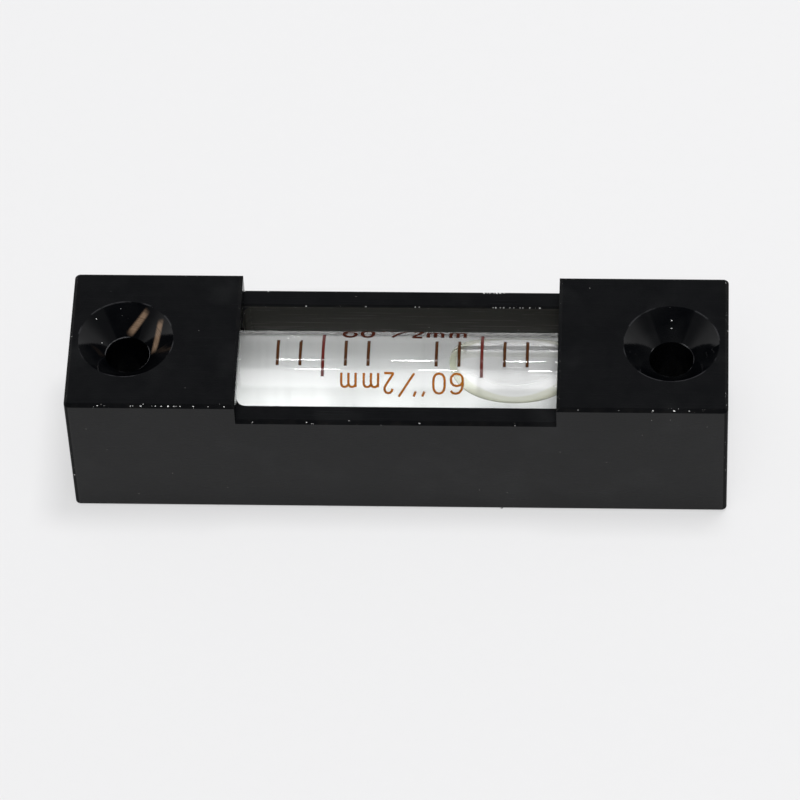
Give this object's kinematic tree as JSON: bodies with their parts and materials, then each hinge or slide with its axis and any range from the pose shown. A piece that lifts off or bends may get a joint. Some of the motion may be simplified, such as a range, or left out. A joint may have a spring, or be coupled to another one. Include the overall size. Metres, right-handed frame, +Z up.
{
  "type": "precision machinist level",
  "caption": "Small black anodised aluminium block with a ground glass bubble vial in a lowered window and countersunk screw holes, fixed to a machine to show tilt.",
  "frame": {"origin": "middle of the base of the block", "axes": "+X along the block towards the end where the bubble lies, +Y across it, +Z up"},
  "size_m": [0.058, 0.015, 0.0145],
  "materials": {
    "black_anodised": "black anodised, satin, with fine milling lines",
    "vial_glass": "clear, fire polished",
    "plug_glass": "ground",
    "cement": "set resin",
    "spirit": "clear liquid",
    "bubble_vapour": "clear",
    "plaster": "matte white",
    "short_line_ink": "baked brown ink",
    "long_line_ink": "baked red ink"
  },
  "bodies": {
    "block": {"housing": "black_anodised", "vial_tube": "vial_glass", "left_end_plug": "plug_glass", "right_end_plug": "plug_glass", "left_plug_cement": "cement", "right_plug_cement": "cement", "vial_liquid": "spirit", "plaster_bed": "plaster", "short_graduations": "short_line_ink", "long_graduations": "long_line_ink"},
    "bubble": {"bubble": "bubble_vapour"}
  },
  "joints": [
    {"name": "bubble_slide", "type": "slide", "parent": "block", "child": "bubble", "axis": [1, 0, 0], "range_m": [-0.0208, 0.0011]}
  ]
}
